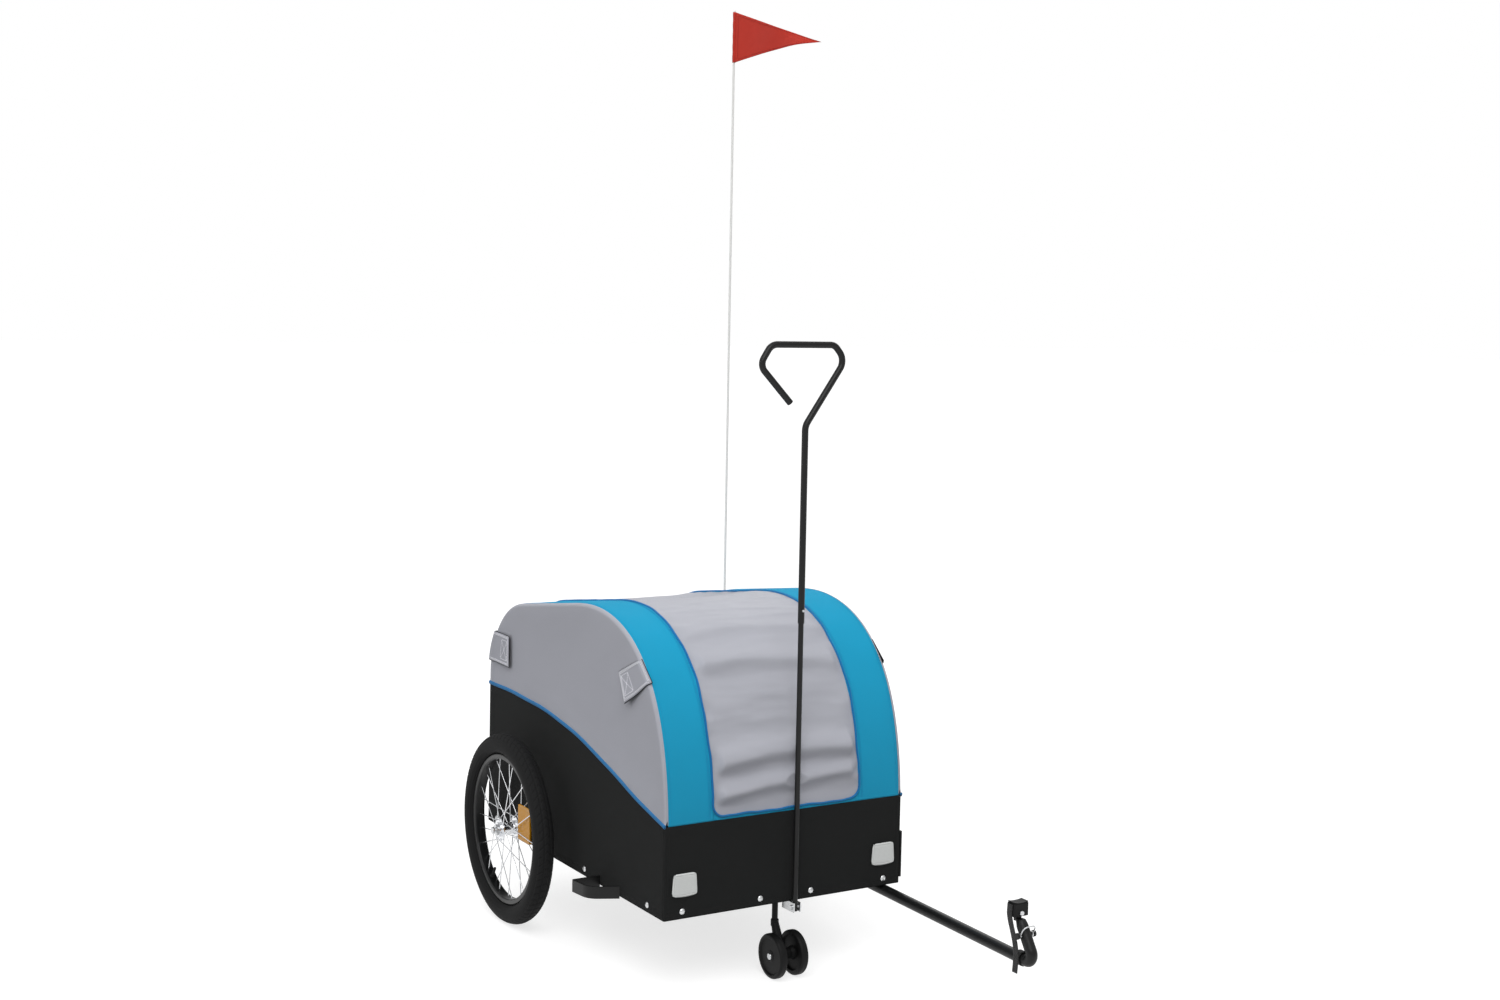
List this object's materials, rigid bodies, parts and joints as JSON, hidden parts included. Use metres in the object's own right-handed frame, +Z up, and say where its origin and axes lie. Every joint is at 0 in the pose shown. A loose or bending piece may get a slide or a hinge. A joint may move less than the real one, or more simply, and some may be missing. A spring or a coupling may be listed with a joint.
{
  "type": "bicycle cargo trailer",
  "caption": "Two-wheeled bicycle trailer with a covered fabric cargo body on a steel frame, tow bar, swivelling front castor, tilting hand bar and safety flag.",
  "frame": {"origin": "middle of the bounding box on the ground plane", "axes": "+Z up; the front, with tow bar and castor, towards -Y; the trailer's left side towards +X"},
  "size_m": [0.744, 1.2926, 1.972],
  "materials": {
    "steel_black": "satin black powder coat",
    "steel_zinc": "zinc plated",
    "chrome": "polished",
    "tyre_black": "matte rubber",
    "rim_black": "semi-gloss black",
    "rubber_black": "matte",
    "castor_plastic": "moulded, fine grain",
    "coupler_rubber": "moulded, matte",
    "board_black": "matte",
    "fabric_black": "coated woven polyester",
    "fabric_grey": "woven polyester",
    "fabric_blue": "woven polyester",
    "piping_blue": "corded piping",
    "webbing_black": "nylon webbing",
    "reflector_clear": "clear moulded prism",
    "reflector_amber": "amber moulded prism",
    "pole_white": "glass fibre, satin",
    "flag_red": "thin woven nylon"
  },
  "bodies": {
    "frame": {"side_rails": "steel_black", "cross_rails": "steel_black", "side_hoops": "steel_black", "hoop_bars": "steel_black", "axle_receivers": "steel_zinc", "stub_axles": "steel_zinc", "floor_board": "board_black", "tub_front": "fabric_black", "tub_rear": "fabric_black", "tub_sides": "fabric_black", "side_panels": "fabric_grey", "canopy_bands": "fabric_blue", "canopy_cover": "fabric_grey", "side_piping": "piping_blue", "cover_piping": "piping_blue", "front_tabs": "fabric_grey", "front_reflectors": "reflector_clear", "panel_bolts": "steel_zinc", "wheel_guards": "steel_black", "castor_socket": "steel_black", "handle_bracket": "steel_zinc", "handle_bolt": "steel_zinc", "drawbar_bracket": "steel_black", "drawbar_bolt": "steel_zinc", "flag_holder": "castor_plastic", "corner_plate": "castor_plastic"},
    "castor_arm": {"castor_fork": "castor_plastic", "castor_bolt": "steel_zinc"},
    "castor_wheel_left": {"castor_wheel_left": "castor_plastic"},
    "castor_wheel_right": {"castor_wheel_right": "castor_plastic"},
    "handle": {"handle_lower": "steel_black", "handle_upper": "steel_black"},
    "handle_button": {"handle_button": "steel_zinc"},
    "tow_bar": {"drawbar": "steel_black", "hitch_neck": "steel_black", "hitch_pin": "steel_black", "safety_strap": "webbing_black"},
    "coupler": {"hitch_block": "coupler_rubber", "hitch_bolt": "steel_zinc"},
    "pin_clip": {"wire_clip": "steel_zinc"},
    "flag_pole": {"flag_pole": "pole_white", "flag": "flag_red"},
    "rear_flap": {"rear_flap": "fabric_grey", "rear_tabs": "fabric_grey"},
    "wheel_left": {"tyre_left": "tyre_black", "rim_left": "rim_black", "hub_left": "chrome", "bearings_left": "steel_zinc", "spokes_left": "chrome", "valve_left": "rubber_black", "wheel_reflector_left": "reflector_amber"},
    "release_button_left": {"release_button_left": "steel_zinc"},
    "wheel_right": {"tyre_right": "tyre_black", "rim_right": "rim_black", "hub_right": "chrome", "bearings_right": "steel_zinc", "spokes_right": "chrome", "valve_right": "rubber_black", "wheel_reflector_right": "reflector_amber"},
    "release_button_right": {"release_button_right": "steel_zinc"}
  },
  "joints": [
    {"name": "wheel_left_spin", "type": "hinge", "parent": "frame", "child": "wheel_left", "pos_m": [0.336, 0.39042, 0.2], "axis": [1, 0, 0], "continuous": true},
    {"name": "release_button_left_press", "type": "slide", "parent": "frame", "child": "release_button_left", "axis": [-1, 0, 0], "range_m": [0, 0.003], "stiffness_N_per_m": 400, "springref_m": -0.002},
    {"name": "wheel_right_spin", "type": "hinge", "parent": "frame", "child": "wheel_right", "pos_m": [-0.336, 0.39042, 0.2], "axis": [1, 0, 0], "continuous": true},
    {"name": "release_button_right_press", "type": "slide", "parent": "frame", "child": "release_button_right", "axis": [1, 0, 0], "range_m": [0, 0.003], "stiffness_N_per_m": 400, "springref_m": -0.002},
    {"name": "castor_swivel", "type": "hinge", "parent": "frame", "child": "castor_arm", "pos_m": [0, -0.14058, 0.13], "axis": [0, 0, 1], "continuous": true},
    {"name": "castor_wheel_left_spin", "type": "hinge", "parent": "castor_arm", "child": "castor_wheel_left", "pos_m": [0.024, -0.17458, 0.0442], "axis": [1, 0, 0], "continuous": true},
    {"name": "castor_wheel_right_spin", "type": "hinge", "parent": "castor_arm", "child": "castor_wheel_right", "pos_m": [-0.024, -0.17458, 0.0442], "axis": [1, 0, 0], "continuous": true},
    {"name": "handle_tilt", "type": "hinge", "parent": "frame", "child": "handle", "pos_m": [0.015, -0.18958, 0.141], "axis": [1, 0, 0], "range_deg": [0, 90]},
    {"name": "handle_button_press", "type": "slide", "parent": "handle", "child": "handle_button", "axis": [0, 1, 0], "range_m": [0, 0.002], "stiffness_N_per_m": 300, "springref_m": -0.001},
    {"name": "tow_bar_swing", "type": "hinge", "parent": "frame", "child": "tow_bar", "pos_m": [0.24, -0.02958, 0.14], "axis": [0, 0, 1], "range_deg": [0, 90]},
    {"name": "coupler_tilt", "type": "hinge", "parent": "tow_bar", "child": "coupler", "pos_m": [0.24, -0.59212, 0.21187], "axis": [0, 1, 0], "range_deg": [-15, 15]},
    {"name": "pin_clip_swing", "type": "hinge", "parent": "tow_bar", "child": "pin_clip", "pos_m": [0.24, -0.61608, 0.17497], "axis": [1, 0, 0], "range_deg": [0, 70]},
    {"name": "flag_pole_lift", "type": "slide", "parent": "frame", "child": "flag_pole", "axis": [0, 0, 1], "range_m": [0, 0.06]},
    {"name": "rear_flap_open", "type": "hinge", "parent": "frame", "child": "rear_flap", "pos_m": [0, 0.53142, 0.646], "axis": [1, 0, 0], "range_deg": [0, 120]}
  ]
}
